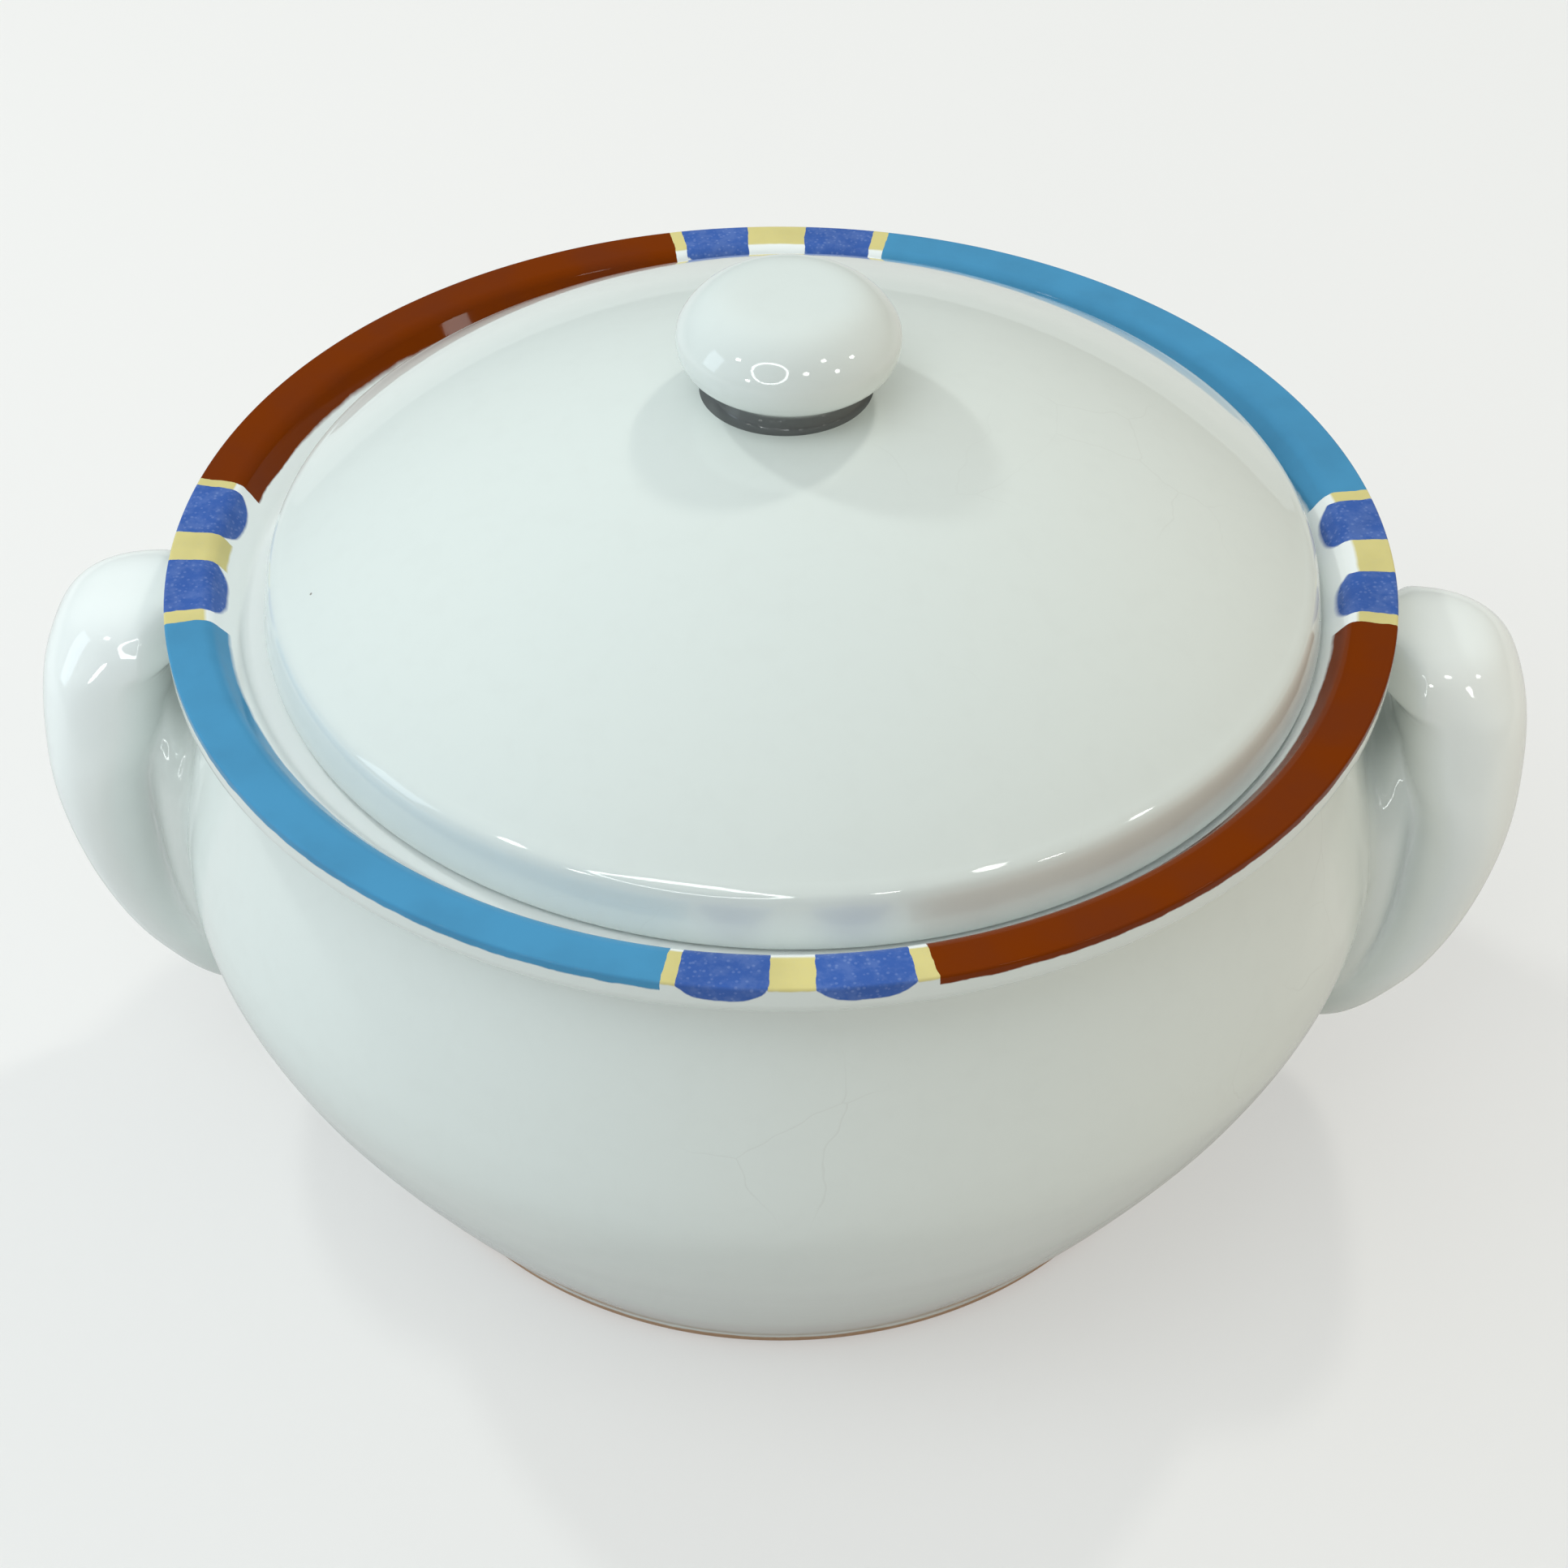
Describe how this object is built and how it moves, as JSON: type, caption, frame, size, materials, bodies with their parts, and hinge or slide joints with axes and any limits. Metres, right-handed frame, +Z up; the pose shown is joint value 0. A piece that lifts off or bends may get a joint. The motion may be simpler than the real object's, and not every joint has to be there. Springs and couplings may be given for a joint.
{
  "type": "lidded casserole",
  "caption": "Round stoneware casserole with ear handles, a painted flared rim and a lift-off domed lid with a flattened ball knob, for cooking and serving.",
  "frame": {"origin": "centre of the foot, on the table", "axes": "+Z up through the knob, the two handles on +X and -X, front towards -Y"},
  "size_m": [0.2896, 0.2358, 0.1885],
  "materials": {
    "pot_glaze": "gloss",
    "handle_glaze": "gloss",
    "lid_glaze": "gloss"
  },
  "bodies": {
    "pot": {"pot_body": "pot_glaze", "handle_left": "handle_glaze", "handle_right": "handle_glaze"},
    "lid": {"lid_cover": "lid_glaze", "lid_knob": "lid_glaze"}
  },
  "joints": [
    {"name": "lid_lift", "type": "slide", "parent": "pot", "child": "lid", "axis": [0, 0, 1], "range_m": [0, 0.12]}
  ]
}
